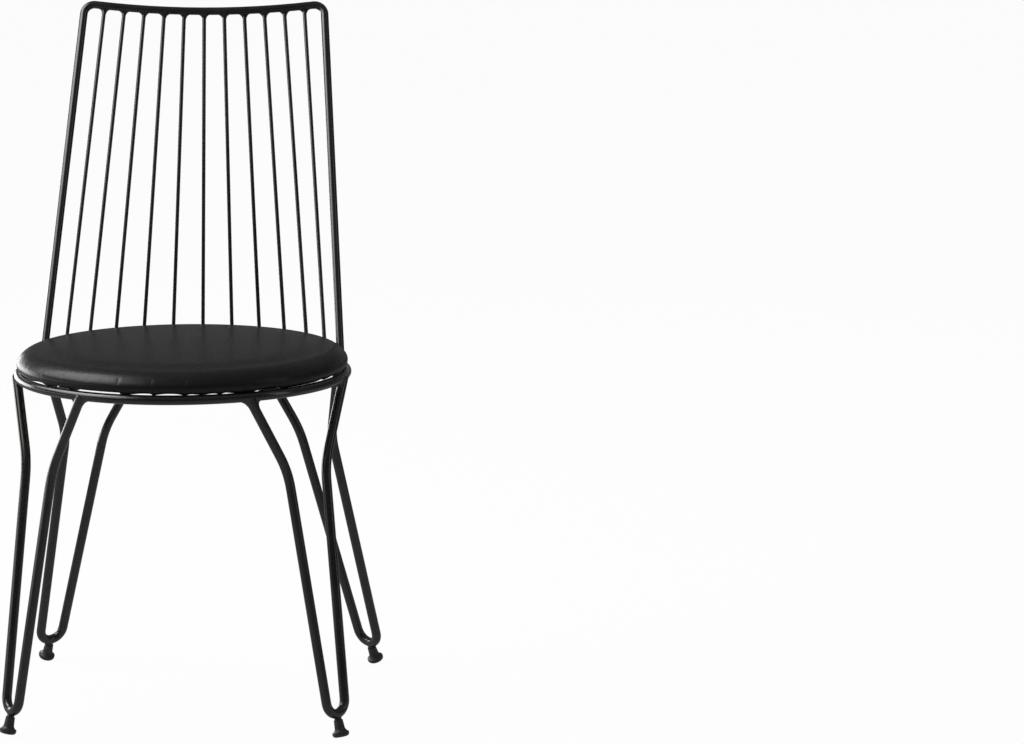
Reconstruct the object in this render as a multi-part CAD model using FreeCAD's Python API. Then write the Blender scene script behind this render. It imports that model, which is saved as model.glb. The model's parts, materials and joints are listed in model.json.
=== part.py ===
import FreeCAD, Part
import math
import os

os.makedirs("parts", exist_ok=True)

# Chair with a round padded seat, a spoked hoop back and four hairpin legs.
# Millimetres and degrees. The front of the chair faces -Y. Every piece is drawn around the
# centre of the seat ring, with azimuths counted from the front, and moved to the floor at the end.

# Seat ring, one round bar bent to a circle
RING_R = 204.5
RING_H = 431.5
BAR_D = 12.0

# Hairpin legs, same bar as the ring
LEG_OUTSET = 2.5
FRONT_AZIMUTH = 55.0
FRONT_SPREAD = 25.6
FRONT_LEAN = 8.4
FRONT_KNEE = (35.3, 99.2)
REAR_AZIMUTH = 138.1
REAR_LEAN = 17.8
REAR_KNEE = (30.0, 112.5)
KNEE_R = 100.0
U_BEND_R = 17.3

# Back hoop, one thinner bar in a flat reclined plane
HOOP_D = 10.0
HOOP_OUTSET = 5.5
POST_AZIMUTH = 114.9
HOOP_TOP_X = 156.5
HOOP_TOP_Y = 278.8
HOOP_TOP_Z = 440.4
RAIL_DIP = 10.5
HOOP_CORNER_R = 13.5

# Back spokes
SPOKE_D = 5.0
SPOKES = 11
SPOKE_OUTSET = LEG_OUTSET

# Weld studs under the legs
FOOT_SPLAY = 5.0
COLLAR_D = 9.0
COLLAR_SHOWS = 1.5
THREAD_D = 6.0
THREAD_L = 14.0

# Glides on the studs
SEAT_GAP = 0.3
THREAD_GAP = 0.3
FOOT_H = 21.0
FOOT_R = 10.5
SOLE_EDGE_R = 3.5
RIM_H = 2.0
FLARE_H = 5.2
FLARE_HOLLOW = (0.36, 0.6)
NECK_R = (6.4, 5.6)
INSERT_R = 4.3
INSERT_L = 11.0
INSERT_DEPTH = 2.0
BORE_END_GAP = 0.6

# Seat tabs and their screws
TAB_AZIMUTH = 38.0
TAB_W = 20.0
TAB_T = 3.0
TAB_RISE = 1.5
TAB_REACH = 32.5
SCREW_INSET = 20.5
SHANK_D = 5.0
SHANK_L = 14.0
SCREW_HOLE_GAP = 0.3
HEAD_D = 9.0
HEAD_H = 2.8

# Seat pad, a little forward of the ring so that it clears the back
PAD_OVERHANG = 2.5
PAD_FORWARD = 2.8
PAD_LOWER_R = 6.2
PAD_SIDE_R = 10.7
PAD_UPPER_R = 26.4
PAD_HEADINGS = (72.0, 123.0, 179.0)
COVER_T = 1.0
EDGE_FOAM = 11.0
HEM_W = 31.0
BOARD_T = 12.0

# Derived values
BAR_R = BAR_D / 2
POST_R = RING_R + HOOP_OUTSET
POST_FOOT_X = POST_R * math.sin(math.radians(POST_AZIMUTH))
POST_FOOT_Y = -POST_R * math.cos(math.radians(POST_AZIMUTH))
REAR_SPREAD = REAR_AZIMUTH - POST_AZIMUTH
HOOP_RISE = math.hypot(HOOP_TOP_Y - POST_FOOT_Y, HOOP_TOP_Z)
RAIL_R = (HOOP_TOP_X ** 2 + RAIL_DIP ** 2) / (2 * RAIL_DIP)
RAIL_CENTRE = HOOP_RISE - RAIL_DIP + RAIL_R
SCREW_R = RING_R - SCREW_INSET
PAD_R = RING_R + PAD_OVERHANG
BOARD_R = PAD_R - EDGE_FOAM
HEM_R = BOARD_R - HEM_W
PAD_Z = BAR_R + TAB_RISE
BOARD_Z = PAD_Z + COVER_T
FOOT_TOP = BAR_R + COLLAR_SHOWS + SEAT_GAP
SOLE_T = FOOT_TOP + FOOT_H
FRONT_Y = -(RING_R + BAR_R)
REAR_Y = HOOP_TOP_Y + HOOP_D / 2
TO_FLOOR = FreeCAD.Vector(0, -(FRONT_Y + REAR_Y) / 2, RING_H)
FAR = 2 * (RING_R + HOOP_TOP_Z)

CORNERS = [("front_left", -1), ("front_right", 1), ("rear_left", -1), ("rear_right", 1)]


def vec(x, y, z):
    return FreeCAD.Vector(x, y, z)


def on_ring(radius, azimuth):
    a = math.radians(azimuth)
    return vec(radius * math.sin(a), -radius * math.cos(a), 0)


def unit(v):
    return v / v.Length


# Bars made of straight lengths and round bends

def straight(a, b, d):
    return Part.makeCylinder(d / 2, (b - a).Length, a, b - a)


def bend(a, middle, b, d):
    arc = Part.Arc(a, middle, b).toShape()
    turn = math.degrees(arc.LastParameter - arc.FirstParameter)
    start = arc.tangentAt(arc.FirstParameter)
    section = Part.Face(Part.Wire(Part.makeCircle(d / 2, a, start)))
    return section.revolve(arc.Curve.Center, arc.Curve.Axis, turn)


def joined(pieces):
    return pieces[0].fuse(pieces[1:]).removeSplitter()


def rounded_corner(a, corner, b, r):
    """Start, middle and end of a bend of radius r at the corner between a and b."""
    to_a = unit(a - corner)
    to_b = unit(b - corner)
    half = to_a.getAngle(to_b) / 2
    run = r / math.tan(half)
    inward = unit(to_a + to_b)
    middle = corner + inward * (r / math.sin(half) - r)
    return corner + to_a * run, middle, corner + to_b * run


def half_space(above):
    z = 0 if above else -FAR
    return Part.makeBox(2 * FAR, 2 * FAR, FAR, vec(-FAR, -FAR, z))


# Seat ring

def seat_ring():
    return Part.makeTorus(RING_R, BAR_R)


# Hairpin legs. A leg lies in a flat plane that leans out from the ring.

def leg_plane(corner, side):
    front = corner.startswith("front")
    azimuth = math.radians(FRONT_AZIMUTH if front else REAR_AZIMUTH)
    lean = math.radians(FRONT_LEAN if front else REAR_LEAN)
    out = vec(side * math.sin(azimuth), -math.cos(azimuth), 0)
    across = vec(side * math.cos(azimuth), math.sin(azimuth), 0)
    down = out * math.sin(lean) - vec(0, 0, math.cos(lean))
    spread = math.radians(FRONT_SPREAD if front else REAR_SPREAD)
    reach = RING_R + LEG_OUTSET
    return {"out": out, "across": across, "down": down, "lean": lean,
            "origin": out * reach * math.cos(spread), "half_width": reach * math.sin(spread),
            "knee": FRONT_KNEE if front else REAR_KNEE}


def foot_axis(plane):
    tilt = plane["lean"] + math.radians(FOOT_SPLAY)
    return plane["out"] * math.sin(tilt) - vec(0, 0, math.cos(tilt))


def foot_drop(plane):
    """Height of the U bend's centre line over the floor: the glide stands on its sole edge."""
    tilt = plane["lean"] + math.radians(FOOT_SPLAY)
    edge = (SOLE_T - SOLE_EDGE_R) * math.cos(tilt) + (FOOT_R - SOLE_EDGE_R) * math.sin(tilt)
    return edge + SOLE_EDGE_R


def leg_length(plane):
    return (RING_H - foot_drop(plane)) / math.cos(plane["lean"])


def leg_bottom(plane):
    return plane["origin"] + plane["down"] * leg_length(plane)


def u_bend_touch(plane, hand):
    """Point where the lower part of the leg runs into the U bend."""
    knee_w, knee_t = plane["knee"]
    rise = leg_length(plane) - U_BEND_R - knee_t
    reach = math.hypot(knee_w, rise)
    turn = math.atan2(knee_w, rise) - math.asin(U_BEND_R / reach)
    across = U_BEND_R * math.cos(turn)
    drop = leg_length(plane) - U_BEND_R + U_BEND_R * math.sin(turn)
    return plane["origin"] + plane["across"] * hand * across + plane["down"] * drop


def half_leg(plane, hand):
    across = plane["across"] * hand
    knee_w, knee_t = plane["knee"]
    weld = plane["origin"] + across * plane["half_width"]
    knee = plane["origin"] + across * knee_w + plane["down"] * knee_t
    touch = u_bend_touch(plane, hand)
    start, middle, end = rounded_corner(weld, knee, touch, KNEE_R)
    top = weld + unit(weld - knee) * BAR_D
    return [straight(top, start, BAR_D), bend(start, middle, end, BAR_D), straight(end, touch, BAR_D)]


def hairpin_leg(plane, ring):
    u_bend = bend(u_bend_touch(plane, 1), leg_bottom(plane), u_bend_touch(plane, -1), BAR_D)
    bar = joined(half_leg(plane, 1) + [u_bend] + half_leg(plane, -1))
    return bar.cut([ring, half_space(True)])


# Back hoop. Points in its plane are (x, distance up the plane from the ring).

def hoop_point(x, up):
    along = up / HOOP_RISE
    return vec(x, POST_FOOT_Y + (HOOP_TOP_Y - POST_FOOT_Y) * along, HOOP_TOP_Z * along)


def rail_point(x):
    return hoop_point(x, RAIL_CENTRE - math.sqrt(RAIL_R ** 2 - x ** 2))


def hoop_corner(side):
    """Start, middle and end of the bend that runs a post into the rail."""
    foot = vec(side * POST_FOOT_X, 0, 0)
    up = unit(vec(side * HOOP_TOP_X, HOOP_RISE, 0) - foot)
    inward = vec(-side * up.y, side * up.x, 0)
    rail_centre = vec(0, RAIL_CENTRE, 0)
    line_start = foot + inward * HOOP_CORNER_R - rail_centre
    half = line_start.dot(up)
    reach = RAIL_R + HOOP_CORNER_R
    run = -half - math.sqrt(half ** 2 - line_start.dot(line_start) + reach ** 2)
    on_post = foot + up * run
    centre = on_post + inward * HOOP_CORNER_R
    on_rail = rail_centre + (centre - rail_centre) * (RAIL_R / reach)
    middle = centre + unit(on_post + on_rail - centre * 2) * HOOP_CORNER_R
    return [hoop_point(p.x, p.y) for p in (on_post, middle, on_rail)]


def back_hoop(ring):
    pieces = []
    for side in (-1, 1):
        foot = hoop_point(side * POST_FOOT_X, 0)
        start, middle, end = hoop_corner(side)
        below = foot + unit(foot - start) * BAR_D
        pieces += [straight(below, start, HOOP_D), bend(start, middle, end, HOOP_D)]
    rail = bend(hoop_corner(-1)[2], rail_point(0), hoop_corner(1)[2], HOOP_D)
    return joined(pieces + [rail]).cut([ring, half_space(False)])


# Back spokes, evenly spaced on the rail and on the rear of the ring between the posts

def back_spoke(number, ring, hoop):
    share = 2 * number / (SPOKES + 1) - 1
    azimuth = 180 - share * (180 - POST_AZIMUTH)
    wire = straight(on_ring(RING_R + SPOKE_OUTSET, azimuth), rail_point(HOOP_TOP_X * share), SPOKE_D)
    return wire.cut([ring, hoop])


# Studs, glides and inserts are turned about the foot axis

def turned(outline, origin, axis):
    """Solid of revolution; outline lists (radius, distance along the axis)."""
    points = [vec(r, 0, t) for r, t in outline]
    solid = Part.Face(Part.makePolygon(points + points[:1])).revolve(vec(0, 0, 0), vec(0, 0, 1), 360)
    solid.Placement = FreeCAD.Placement(origin, FreeCAD.Rotation(vec(0, 0, 1), axis))
    return solid


def weld_stud(plane, leg):
    shoulder = BAR_R + COLLAR_SHOWS
    outline = [(0, 0), (COLLAR_D / 2, 0), (COLLAR_D / 2, shoulder), (THREAD_D / 2, shoulder),
               (THREAD_D / 2, shoulder + THREAD_L), (0, shoulder + THREAD_L)]
    return turned(outline, leg_bottom(plane), foot_axis(plane)).cut(leg)


def insert_outline():
    start = FOOT_TOP + INSERT_DEPTH
    bore = THREAD_D / 2 + THREAD_GAP
    return [(bore, start), (INSERT_R, start), (INSERT_R, start + INSERT_L), (bore, start + INSERT_L)]


def glide_section():
    rim = SOLE_T - SOLE_EDGE_R
    flare = rim - RIM_H
    neck = flare - FLARE_H
    flat = FOOT_R - SOLE_EDGE_R
    turn = SOLE_EDGE_R * math.sqrt(0.5)
    wide, low = FLARE_HOLLOW
    flare_mid = vec(NECK_R[0] + (FOOT_R - NECK_R[0]) * wide, 0, neck + FLARE_H * low)
    edges = [Part.LineSegment(vec(0, 0, FOOT_TOP), vec(NECK_R[1], 0, FOOT_TOP)),
             Part.LineSegment(vec(NECK_R[1], 0, FOOT_TOP), vec(NECK_R[0], 0, neck)),
             Part.Arc(vec(NECK_R[0], 0, neck), flare_mid, vec(FOOT_R, 0, flare)),
             Part.LineSegment(vec(FOOT_R, 0, flare), vec(FOOT_R, 0, rim)),
             Part.Arc(vec(FOOT_R, 0, rim), vec(flat + turn, 0, rim + turn), vec(flat, 0, SOLE_T)),
             Part.LineSegment(vec(flat, 0, SOLE_T), vec(0, 0, SOLE_T)),
             Part.LineSegment(vec(0, 0, SOLE_T), vec(0, 0, FOOT_TOP))]
    return Part.Face(Part.Wire([e.toShape() for e in edges]))


def glide(plane, insert):
    solid = glide_section().revolve(vec(0, 0, 0), vec(0, 0, 1), 360)
    solid.Placement = FreeCAD.Placement(leg_bottom(plane), FreeCAD.Rotation(vec(0, 0, 1), foot_axis(plane)))
    depth = BAR_R + COLLAR_SHOWS + THREAD_L + BORE_END_GAP
    bore_r = THREAD_D / 2 + THREAD_GAP
    bore = turned([(0, 0), (bore_r, 0), (bore_r, depth), (0, depth)], leg_bottom(plane), foot_axis(plane))
    return solid.cut([bore, insert])


# Seat tabs and screws

def tab_azimuth(corner, side):
    return side * (TAB_AZIMUTH if corner.startswith("front") else 180 - TAB_AZIMUTH)


def turned_to(shape, azimuth):
    shape.rotate(vec(0, 0, 0), vec(0, 0, 1), azimuth)
    return shape


def seat_tab(azimuth, ring):
    top = PAD_Z
    strip = Part.makeBox(TAB_W, TAB_REACH, TAB_T, vec(-TAB_W / 2, -RING_R, top - TAB_T))
    hole = Part.makeCylinder(SHANK_D / 2 + SCREW_HOLE_GAP, TAB_T, vec(0, -SCREW_R, top - TAB_T))
    return turned_to(strip.cut(hole), azimuth).cut(ring)


def seat_screw(azimuth):
    under = PAD_Z - TAB_T
    head = Part.makeCylinder(HEAD_D / 2, HEAD_H, vec(0, -SCREW_R, under - HEAD_H))
    shank = Part.makeCylinder(SHANK_D / 2, SHANK_L, vec(0, -SCREW_R, under))
    return turned_to(head.fuse(shank).removeSplitter(), azimuth)


def screw_hole(azimuth):
    hole = Part.makeCylinder(SHANK_D / 2 + SCREW_HOLE_GAP, COVER_T, vec(0, -SCREW_R, PAD_Z))
    return turned_to(hole, azimuth)


# Seat pad: cover, foam and board are turned about the pad's own axis

def pad_arcs():
    """Radius and end heading of the arcs from the hem, over the side, to the crown."""
    lower, side, upper = [math.radians(a) for a in PAD_HEADINGS]
    edge_r = PAD_R - PAD_SIDE_R * (1 - math.sin(side)) - PAD_UPPER_R * (math.sin(side) - math.sin(upper))
    return [(PAD_LOWER_R, lower), (PAD_SIDE_R, side), (PAD_UPPER_R, upper),
            (edge_r / math.sin(upper), math.pi)]


def pad_curve(inset):
    """Outside of the pad from the flat hem to the crown, drawn in by inset."""
    lower = math.radians(PAD_HEADINGS[0])
    hem_end = PAD_R - PAD_LOWER_R * math.sin(lower) - PAD_SIDE_R * (1 - math.sin(lower))
    point = vec(hem_end, 0, PAD_Z)
    heading = 0.0
    edges = []
    for r, end in pad_arcs():
        centre = point + vec(-math.sin(heading), 0, math.cos(heading)) * r
        angles = (heading, (heading + end) / 2, end)
        stops = [centre + vec(math.sin(a), 0, -math.cos(a)) * (r - inset) for a in angles]
        edges.append(Part.Arc(*stops).toShape())
        point = centre + vec(math.sin(end), 0, -math.cos(end)) * r
        heading = end
    return edges


def pad_start(inset):
    return pad_curve(inset)[0].firstVertex().Point


def pad_crown(inset):
    return vec(0, 0, pad_curve(inset)[-1].lastVertex().Point.z)


def pad_solid(edges):
    outline = Part.Wire(Part.__sortEdges__(edges))
    solid = Part.Face(outline).revolve(vec(0, 0, 0), vec(0, 0, 1), 360)
    solid.translate(vec(0, -PAD_FORWARD, 0))
    return solid


def seat_cover(azimuths):
    hem = vec(HEM_R, 0, PAD_Z)
    hem_top = vec(HEM_R, 0, BOARD_Z)
    edges = pad_curve(0) + pad_curve(COVER_T)
    edges += [Part.makeLine(hem, pad_start(0)), Part.makeLine(pad_crown(0), pad_crown(COVER_T)),
              Part.makeLine(pad_start(COVER_T), hem_top), Part.makeLine(hem_top, hem)]
    return pad_solid(edges).cut([screw_hole(a) for a in azimuths])


def seat_foam():
    top = BOARD_Z + BOARD_T
    stops = [pad_crown(COVER_T), vec(0, 0, top), vec(BOARD_R, 0, top), vec(BOARD_R, 0, BOARD_Z),
             pad_start(COVER_T)]
    edges = [Part.makeLine(a, b) for a, b in zip(stops, stops[1:])]
    return pad_solid(pad_curve(COVER_T) + edges)


def seat_board(screws):
    return Part.makeCylinder(BOARD_R, BOARD_T, vec(0, -PAD_FORWARD, BOARD_Z)).cut(screws)


# Assembly

def pieces():
    ring = seat_ring()
    hoop = back_hoop(ring)
    made = {"seat_ring": ring, "back_hoop": hoop}
    for number in range(1, SPOKES + 1):
        made["back_spoke_%02d" % number] = back_spoke(number, ring, hoop)
    azimuths = [tab_azimuth(corner, side) for corner, side in CORNERS]
    for (corner, side), azimuth in zip(CORNERS, azimuths):
        plane = leg_plane(corner, side)
        leg = hairpin_leg(plane, ring)
        insert = turned(insert_outline(), leg_bottom(plane), foot_axis(plane))
        made[corner + "_leg"] = leg
        made[corner + "_stud"] = weld_stud(plane, leg)
        made[corner + "_foot"] = glide(plane, insert)
        made[corner + "_insert"] = insert
        made[corner + "_tab"] = seat_tab(azimuth, ring)
    screws = [seat_screw(a) for a in azimuths]
    made["seat_screws"] = Part.makeCompound(screws)
    made["seat_board"] = seat_board(screws)
    made["seat_foam"] = seat_foam()
    made["seat_cover"] = seat_cover(azimuths)
    return made


for name, shape in pieces().items():
    shape.translate(TO_FLOOR)
    shape.exportStep("parts/%s.step" % name)
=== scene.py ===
import json
import math
import random

import bmesh
import bpy
from bpy.props import FloatProperty, FloatVectorProperty, IntProperty, PointerProperty
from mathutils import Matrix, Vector, noise


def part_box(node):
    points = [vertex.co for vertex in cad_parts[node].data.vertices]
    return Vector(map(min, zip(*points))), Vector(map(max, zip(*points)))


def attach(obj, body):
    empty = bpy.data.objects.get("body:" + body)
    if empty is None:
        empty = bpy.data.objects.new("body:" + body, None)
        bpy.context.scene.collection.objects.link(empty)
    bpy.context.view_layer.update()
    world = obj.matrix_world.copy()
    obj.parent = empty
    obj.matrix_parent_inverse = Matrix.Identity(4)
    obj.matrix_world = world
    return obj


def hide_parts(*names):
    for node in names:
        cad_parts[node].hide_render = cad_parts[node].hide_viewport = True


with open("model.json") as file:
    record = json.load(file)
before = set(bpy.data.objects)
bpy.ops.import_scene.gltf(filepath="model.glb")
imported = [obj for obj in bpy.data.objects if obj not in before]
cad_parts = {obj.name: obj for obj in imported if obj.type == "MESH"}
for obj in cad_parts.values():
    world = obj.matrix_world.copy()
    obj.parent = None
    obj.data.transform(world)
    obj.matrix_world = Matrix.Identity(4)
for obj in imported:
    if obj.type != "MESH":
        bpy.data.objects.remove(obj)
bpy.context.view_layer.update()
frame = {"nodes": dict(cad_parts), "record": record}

bl_info = {
    "name": "Spoked metal chair",
    "version": (1, 0, 0),
    "blender": (4, 5, 0),
    "location": "View3D > Sidebar > Chair",
    "description": "Finishes, seat pad, welds and studio for a round-seat metal chair",
    "category": "Object",
}

MM = 0.001
UP = Vector((0, 0, 1))

# The chair's own lines, read from the frame or repeated from the part's source in metres.
# Azimuths are in degrees from the front, with + to the right as seen from the front.
RING_LOW, RING_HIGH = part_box("seat_ring")
RING_CENTRE = (RING_LOW + RING_HIGH) / 2
BAR_R = (RING_HIGH.z - RING_LOW.z) / 2
RING_R = (RING_HIGH.x - RING_LOW.x) / 2 - BAR_R
PAD_LOW, PAD_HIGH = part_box("seat_cover")
PAD_CENTRE = (PAD_LOW + PAD_HIGH) / 2
PAD_R = (PAD_HIGH.x - PAD_LOW.x) / 2
BOARD_LOW, BOARD_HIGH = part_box("seat_board")
BOARD_R = (BOARD_HIGH.x - BOARD_LOW.x) / 2
SOLES = {m["name"]: m for m in frame["record"]["mounts"]}

BAR_OUTSET = 2.5 * MM
HOOP_R = 5.0 * MM
SPOKE_R = 2.5 * MM
POST_AZIMUTH = 114.9
POST_R = RING_R + 5.5 * MM
HOOP_TOP_X = 156.5 * MM
HOOP_TOP = Vector((0, 278.8 * MM, 440.4 * MM))
RAIL_DIP = 10.5 * MM
RAIL_R = (HOOP_TOP_X ** 2 + RAIL_DIP ** 2) / (2 * RAIL_DIP)
SPOKES = 11
U_BEND_R = 17.3 * MM
SOLE_T = 28.8 * MM
COLLAR_R = 4.5 * MM
COLLAR_TIP = 7.5 * MM
THREAD_R = 3.0 * MM
THREAD_PITCH = 1.0 * MM
THREAD_L = 14.0 * MM
THREAD_PLAIN = 3 * MM
THREAD_START = COLLAR_TIP + 1.2 * MM
THREAD_SINK = 0.16 * MM
THREAD_STEPS = 20
TAB_AZIMUTHS = (38.0, -38.0, 142.0, -142.0)
TAB_HALF_W = 10.0 * MM
PAD_ARCS = (6.2 * MM, 10.7 * MM, 26.4 * MM)
PAD_HEADINGS = (72.0, 123.0, 179.0)
PAD_STEPS = (6, 9, 12, 13)
HEM_R = 165.0 * MM

# Half a staple, from the tip of its leg to the start of its crown: distance from the middle, height
STAPLE_WIRE = 0.36 * MM
STAPLE_HALF = 4.6 * MM
STAPLE_LEG = [(STAPLE_HALF, 1.6 * MM), (STAPLE_HALF, 0.3 * MM)] + [
    (STAPLE_HALF - 0.5 * MM * (1 - math.cos(a)), 0.1 * MM - 0.25 * MM * math.sin(a))
    for a in (math.radians(30), math.radians(60), math.radians(90))]

# Azimuth, half spread of the two bars, lean, knee's half width and depth under the ring
LEG_SHAPES = {"front": (55.0, 25.6, 8.4, 35.3 * MM, 99.2 * MM),
              "rear": (138.1, 23.2, 17.8, 30.0 * MM, 112.5 * MM)}
LEGS = {f"{end}_{hand}": (side, *shape) for end, shape in LEG_SHAPES.items()
        for hand, side in (("left", -1), ("right", 1))}

PAINTED = (["seat_ring", "back_hoop"]
           + [f"back_spoke_{n:02d}" for n in range(1, SPOKES + 1)]
           + [f"{corner}_{part}" for corner in LEGS for part in ("leg", "stud", "tab")])


def around_seat(radius, azimuth):
    a = math.radians(azimuth)
    return RING_CENTRE + Vector((radius * math.sin(a), -radius * math.cos(a), 0.0))


def flat_angle(point, centre):
    return math.degrees(math.atan2(point.x - centre.x, centre.y - point.y))


def smooth(low, high, value):
    t = min(1.0, max(0.0, (value - low) / (high - low)))
    return t * t * (3 - 2 * t)


# Meshes

def add_piece(name, bm, material, body="frame"):
    bmesh.ops.recalc_face_normals(bm, faces=bm.faces)
    mesh = bpy.data.meshes.new(name)
    bm.to_mesh(mesh)
    bm.free()
    mesh.shade_smooth()
    piece = bpy.data.objects.new(name, mesh)
    bpy.context.scene.collection.objects.link(piece)
    piece.data.materials.append(material)
    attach(piece, body)
    return piece


def cross_frame(direction):
    helper = UP if abs(direction.z) < 0.9 else Vector((0, 1, 0))
    side = direction.cross(helper).normalized()
    return side, direction.cross(side).normalized()


def tube(bm, line, sizes, outs, facets):
    """A capped tube along line, with its own radius and its own outward hint at every point."""
    rows = []
    last = len(line) - 1
    for i, point in enumerate(line):
        along = (line[min(i + 1, last)] - line[max(i - 1, 0)]).normalized()
        out = (outs[i] - along * outs[i].dot(along)).normalized()
        across = along.cross(out)
        row = []
        for k in range(facets):
            turn = 2 * math.pi * k / facets
            away = out * math.cos(turn) + across * math.sin(turn)
            row.append(bm.verts.new(point + away * sizes[i]))
        rows.append(row)
    for a, b in zip(rows, rows[1:]):
        for k in range(facets):
            bm.faces.new((a[k], a[(k + 1) % facets], b[(k + 1) % facets], b[k]))
    bm.faces.new(rows[0])
    bm.faces.new(rows[-1])


# Welds. A root is looked for from WELD_REACH down the bar, and a toe may land WELD_DROP past the
# foot. PASSING_WELD is the section where a bar passes the other by, in millimetres: start, bulge,
# end and inner corner.

WELD_REACH = 34 * MM
WELD_STEP = 0.4 * MM
WELD_DROP = 3 * MM
WELD_FACET = 0.6 * MM
WELD_ROWS = 8
TOE_SHARE = 0.88
LUMP_SHARE, LUMP_SCALE = 0.25, 2.2
RIPPLE_SHARE, RIPPLE_L = 0.03, 0.5 * MM
PASSING_WELD = ((-0.1, 1.8), (0.7, -1.3), (-2.4, -1.5), (-2.4, 0.8))


def circle_gap(point, centre, axis, radius):
    away = point - centre
    height = away.dot(axis)
    return math.hypot((away - axis * height).length - radius, height)


def meeting_depth(start, direction, gap, lowest):
    """How far along a bar its skin meets the bar it is welded to, or None where it passes by."""
    high = WELD_REACH
    while high > lowest and gap(start + direction * (high - WELD_STEP)) > 0:
        high -= WELD_STEP
    if high <= lowest:
        return None
    low = high - WELD_STEP
    for _ in range(12):
        middle = (low + high) / 2
        if gap(start + direction * middle) > 0:
            high = middle
        else:
            low = middle
    return high


def widest_toe(start, out, direction, gap, width):
    """The widest fillet, up to width, whose toe still lands on the other bar."""
    low, high = 0.0, width
    if meeting_depth(start + out * width, direction, gap, -WELD_DROP) is not None:
        return width
    for _ in range(9):
        middle = (low + high) / 2
        if meeting_depth(start + out * middle, direction, gap, -WELD_DROP) is None:
            high = middle
        else:
            low = middle
    return low * TOE_SHARE


def weld(bm, foot, direction, radius, gap, width, height, seed):
    """A hollow fillet round the foot of a bar, closed under the skin of both bars."""
    side, up = cross_frame(direction)
    steps = max(30, int(2 * math.pi * radius / WELD_FACET))
    outs, fulls, roots, widths = [], [], [], []
    for i in range(steps):
        turn = 2 * math.pi * i / steps
        out = side * math.cos(turn) + up * math.sin(turn)
        lump = noise.noise(Vector((seed * 3.7, LUMP_SCALE * math.cos(turn),
                                   LUMP_SCALE * math.sin(turn))))
        ripple = math.sin(turn * radius / RIPPLE_L + seed)
        full = 1.0 + LUMP_SHARE * lump + RIPPLE_SHARE * ripple
        skin = foot + out * radius
        outs.append(out)
        fulls.append(full)
        roots.append(meeting_depth(skin, direction, gap, 0.0))
        widths.append(0.0 if roots[-1] is None else
                      widest_toe(skin, out, direction, gap, width * full))
    rows = []
    for i in range(steps):
        near = [widths[(i + k) % steps] for k in (-2, -1, 0, 1, 2)]
        wide = min(widths[i], sum(near) / 5)
        out, root = outs[i], roots[i]
        toe = None
        if root is not None and wide > 0.05 * MM:
            toe = meeting_depth(foot + out * (radius + wide), direction, gap, -WELD_DROP)
        if toe is not None:
            tall = height * fulls[i] * (0.3 + 0.7 * min(1.0, wide / width))
            start = (radius - 0.12 * MM, root + tall)
            bulge = (radius + 0.09 * wide, root + 0.12 * tall)
            end = (radius + wide, toe - 0.25 * MM)
            inside = (radius - 1.2 * MM, min(root, toe) - 1.0 * MM)
        else:
            start, bulge, end, inside = [(radius + a * MM, b * MM) for a, b in PASSING_WELD]
        section = []
        for k in range(WELD_ROWS + 1):
            t = k / WELD_ROWS
            across, along = [a * (1 - t) ** 2 + 2 * b * t * (1 - t) + c * t * t
                             for a, b, c in zip(start, bulge, end)]
            section.append(foot + out * across + direction * along)
        section.append(foot + out * inside[0] + direction * inside[1])
        rows.append([bm.verts.new(p) for p in section])
    count = len(rows[0])
    for a, b in zip(rows, rows[1:] + rows[:1]):
        for k in range(count):
            bm.faces.new((a[k], a[(k + 1) % count], b[(k + 1) % count], b[k]))


# Shader node groups

def node_group(name, ins, outs):
    tree = bpy.data.node_groups.new(name, "ShaderNodeTree")
    for label, kind, value in ins:
        socket = tree.interface.new_socket(label, in_out="INPUT", socket_type=kind)
        socket.default_value = value
    for label, kind in outs:
        tree.interface.new_socket(label, in_out="OUTPUT", socket_type=kind)
    return tree, tree.nodes.new("NodeGroupInput"), tree.nodes.new("NodeGroupOutput")


def add_node(tree, kind, **values):
    node = tree.nodes.new(kind)
    for key, value in values.items():
        if hasattr(node, key):
            setattr(node, key, value)
        else:
            node.inputs[key.replace("_", " ")].default_value = value
    return node


def feed(tree, value, socket):
    """Links an output to a socket, or sets the socket to a plain value."""
    if isinstance(value, bpy.types.NodeSocket):
        tree.links.new(value, socket)
    else:
        socket.default_value = value


def math_node(tree, operation, first, second=0.0):
    node = add_node(tree, "ShaderNodeMath", operation=operation)
    feed(tree, first, node.inputs[0])
    feed(tree, second, node.inputs[1])
    return node.outputs[0]


def ramp_between(tree, value, low, high):
    node = add_node(tree, "ShaderNodeMapRange", interpolation_type="SMOOTHSTEP",
                    From_Min=low, From_Max=high)
    tree.links.new(value, node.inputs["Value"])
    return node.outputs["Result"]


def mix_colour(tree, factor, first, second):
    node = add_node(tree, "ShaderNodeMix", data_type="RGBA")
    for value, number in ((factor, 0), (first, 6), (second, 7)):
        feed(tree, value, node.inputs[number])
    return node.outputs[2]


def object_place(tree):
    return add_node(tree, "ShaderNodeTexCoord").outputs["Object"]


def stretched_place(tree, scale, turn=(0.0, 0.0, 0.0)):
    node = add_node(tree, "ShaderNodeMapping", Scale=scale, Rotation=turn)
    tree.links.new(object_place(tree), node.inputs["Vector"])
    return node.outputs[0]


def one_axis(tree, vector, axis):
    node = add_node(tree, "ShaderNodeSeparateXYZ")
    tree.links.new(vector, node.inputs[0])
    return node.outputs[axis]


def upward(tree):
    return one_axis(tree, add_node(tree, "ShaderNodeNewGeometry").outputs["Normal"], "Z")


def clouds(tree, place, scale, **values):
    node = add_node(tree, "ShaderNodeTexNoise", **values)
    tree.links.new(place, node.inputs["Vector"])
    feed(tree, scale, node.inputs["Scale"])
    return node.outputs["Fac"]


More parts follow.
